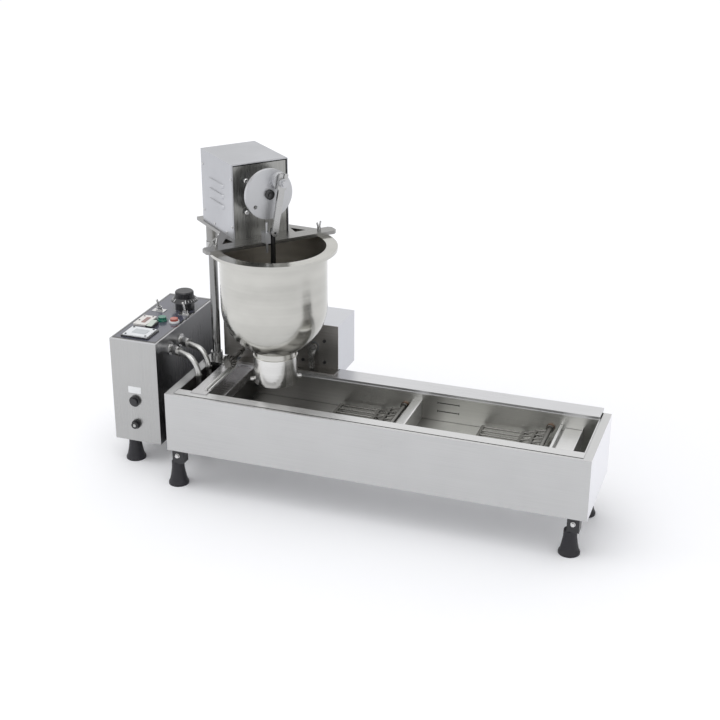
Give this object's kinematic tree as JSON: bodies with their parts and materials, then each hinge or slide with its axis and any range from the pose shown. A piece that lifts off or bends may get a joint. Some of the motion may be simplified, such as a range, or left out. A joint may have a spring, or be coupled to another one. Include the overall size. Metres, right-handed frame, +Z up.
{
  "type": "donut fryer",
  "caption": "Automatic ring donut fryer: long oil tank with coupled flippers, swivelling hopper head with plunger drive, rear drive box and control box.",
  "frame": {"origin": "middle of the machine's box, on the floor", "axes": "+X along the tank to its outlet end, +Y to the rear, +Z up"},
  "size_m": [1.034, 0.381, 0.676],
  "materials": {
    "shell_steel": "brushed stainless sheet",
    "pan_steel": "stainless sheet, dulled by oil",
    "bright_steel": "polished stainless",
    "plain_steel": "satin stainless",
    "wire_steel": "satin wire",
    "chrome_tube": "polished tube",
    "dark_steel": "dark, satin",
    "screw_steel": "plated",
    "motor_paint": "satin paint",
    "bush_brass": "plain",
    "panel_paint": "satin film",
    "black_plastic": "fine texture",
    "white_plastic": "smooth",
    "grey_plastic": "smooth",
    "pale_plastic": "smooth",
    "green_plastic": "smooth",
    "red_plastic": "smooth",
    "foot_rubber": "matte"
  },
  "bodies": {
    "base": {"tank_shell": "shell_steel", "rear_cover": "shell_steel", "rear_plate": "shell_steel", "rear_box_cover": "shell_steel", "oil_pan": "pan_steel", "loose_floor_plate": "pan_steel", "bridge_plate": "pan_steel", "divider": "pan_steel", "exit_chute": "pan_steel", "column": "plain_steel", "column_base": "plain_steel", "column_collar": "plain_steel", "control_box": "plain_steel", "control_back": "plain_steel", "trip_lever": "plain_steel", "bridge_rail": "wire_steel", "heater_element": "chrome_tube", "heater_glands": "chrome_tube", "joining_channel": "dark_steel", "foot_brackets": "dark_steel", "foot_bolts": "screw_steel", "rear_screws": "screw_steel", "button_bezels": "screw_steel", "toggle_bushes": "screw_steel", "rear_gear_motor": "motor_paint", "shaft_bushes": "bush_brass", "control_panel": "panel_paint", "power_gland": "black_plastic", "rocker_frame": "black_plastic", "regulator": "black_plastic", "reset_housing": "black_plastic", "fuse_holder": "black_plastic", "temperature_controller": "white_plastic", "timer_module": "grey_plastic", "tank_feet": "foot_rubber", "control_feet": "foot_rubber"},
    "head": {"head_plate": "plain_steel", "hopper": "bright_steel", "nozzle_cylinder": "bright_steel", "nozzle_screws": "screw_steel", "wing_screws": "screw_steel", "guide_block": "plain_steel", "motor_housing": "plain_steel", "head_gear_motor": "motor_paint"},
    "drive_crank": {"drive_crank": "plain_steel"},
    "drive_link": {"drive_link": "plain_steel"},
    "timing_gear": {"timing_gear": "plain_steel"},
    "flipper_1": {"flipper_1": "wire_steel"},
    "flipper_2": {"flipper_2": "wire_steel"},
    "coupling_bar": {"coupling_bar": "plain_steel"},
    "crank": {"crank": "plain_steel"},
    "con_rod": {"con_rod": "plain_steel"},
    "plunger": {"plunger": "dark_steel"},
    "green_button": {"green_button": "green_plastic"},
    "red_button": {"red_button": "red_plastic"},
    "rocker": {"rocker": "pale_plastic"},
    "toggle_1": {"toggle_1": "screw_steel"},
    "toggle_2": {"toggle_2": "screw_steel"},
    "dial_knob": {"dial_knob": "black_plastic"},
    "reset_button": {"reset_button": "black_plastic"}
  },
  "joints": [
    {"name": "head_swivel", "type": "hinge", "parent": "base", "child": "head", "pos_m": [-0.328, 0.0285, 0.505], "axis": [0, 0, 1], "range_deg": [-75, 5]},
    {"name": "crank_spin", "type": "hinge", "parent": "head", "child": "crank", "pos_m": [-0.153, -0.0635, 0.62], "axis": [0.7547, -0.6561, 0], "continuous": true},
    {"name": "con_rod_hang", "type": "hinge", "parent": "crank", "child": "con_rod", "pos_m": [-0.14096, -0.04965, 0.64621], "axis": [0.7547, -0.6561, 0], "continuous": true},
    {"name": "plunger_slide", "type": "slide", "parent": "head", "child": "plunger", "axis": [0, 0, 1], "range_m": [-0.06, 0.004]},
    {"name": "drive_crank_spin", "type": "hinge", "parent": "base", "child": "drive_crank", "pos_m": [-0.111, 0.0425, 0.269], "axis": [0, 1, 0], "continuous": true},
    {"name": "drive_link_hang", "type": "hinge", "parent": "drive_crank", "child": "drive_link", "pos_m": [-0.111, 0.0285, 0.257], "axis": [0, 1, 0], "continuous": true},
    {"name": "timing_gear_spin", "type": "hinge", "parent": "base", "child": "timing_gear", "pos_m": [-0.273, 0.0285, 0.238], "axis": [0, 1, 0], "continuous": true},
    {"name": "flipper_1_turn", "type": "hinge", "parent": "base", "child": "flipper_1", "pos_m": [0.102, -0.0665, 0.183], "axis": [0, 1, 0], "range_deg": [0, 140]},
    {"name": "flipper_2_turn", "type": "hinge", "parent": "base", "child": "flipper_2", "pos_m": [0.404, -0.0665, 0.183], "axis": [0, 1, 0], "range_deg": [0, 140]},
    {"name": "coupling_bar_pivot", "type": "hinge", "parent": "flipper_1", "child": "coupling_bar", "pos_m": [0.08133, 0.0275, 0.19052], "axis": [0, 1, 0], "range_deg": [-140, 0]},
    {"name": "dial_turn", "type": "hinge", "parent": "base", "child": "dial_knob", "pos_m": [-0.44403, 0.11794, 0.303], "axis": [0, 0, 1], "range_deg": [-300, 0]},
    {"name": "toggle_1_tilt", "type": "hinge", "parent": "base", "child": "toggle_1", "pos_m": [-0.49004, 0.08446, 0.287], "axis": [0, 1, 0], "range_deg": [0, 26]},
    {"name": "toggle_2_tilt", "type": "hinge", "parent": "base", "child": "toggle_2", "pos_m": [-0.42701, 0.08446, 0.287], "axis": [0, 1, 0], "range_deg": [0, 26]},
    {"name": "rocker_tilt", "type": "hinge", "parent": "base", "child": "rocker", "pos_m": [-0.462, -0.00438, 0.282], "axis": [1, 0, 0], "range_deg": [-16, 0]},
    {"name": "green_button_press", "type": "slide", "parent": "base", "child": "green_button", "axis": [0, 0, 1], "range_m": [-0.003, 0], "stiffness_N_per_m": 400, "springref_m": 0.003},
    {"name": "red_button_press", "type": "slide", "parent": "base", "child": "red_button", "axis": [0, 0, 1], "range_m": [-0.003, 0], "stiffness_N_per_m": 400, "springref_m": 0.003},
    {"name": "reset_button_press", "type": "slide", "parent": "base", "child": "reset_button", "axis": [0, 1, 0], "range_m": [0, 0.0025], "stiffness_N_per_m": 400, "springref_m": -0.003}
  ],
  "couplings": [
    {"joint": "con_rod_hang", "follows": "crank_spin", "ratio": -1},
    {"joint": "drive_link_hang", "follows": "drive_crank_spin", "ratio": -1},
    {"joint": "timing_gear_spin", "follows": "drive_crank_spin", "ratio": 1},
    {"joint": "flipper_2_turn", "follows": "flipper_1_turn", "ratio": 1},
    {"joint": "coupling_bar_pivot", "follows": "flipper_1_turn", "ratio": -1}
  ]
}
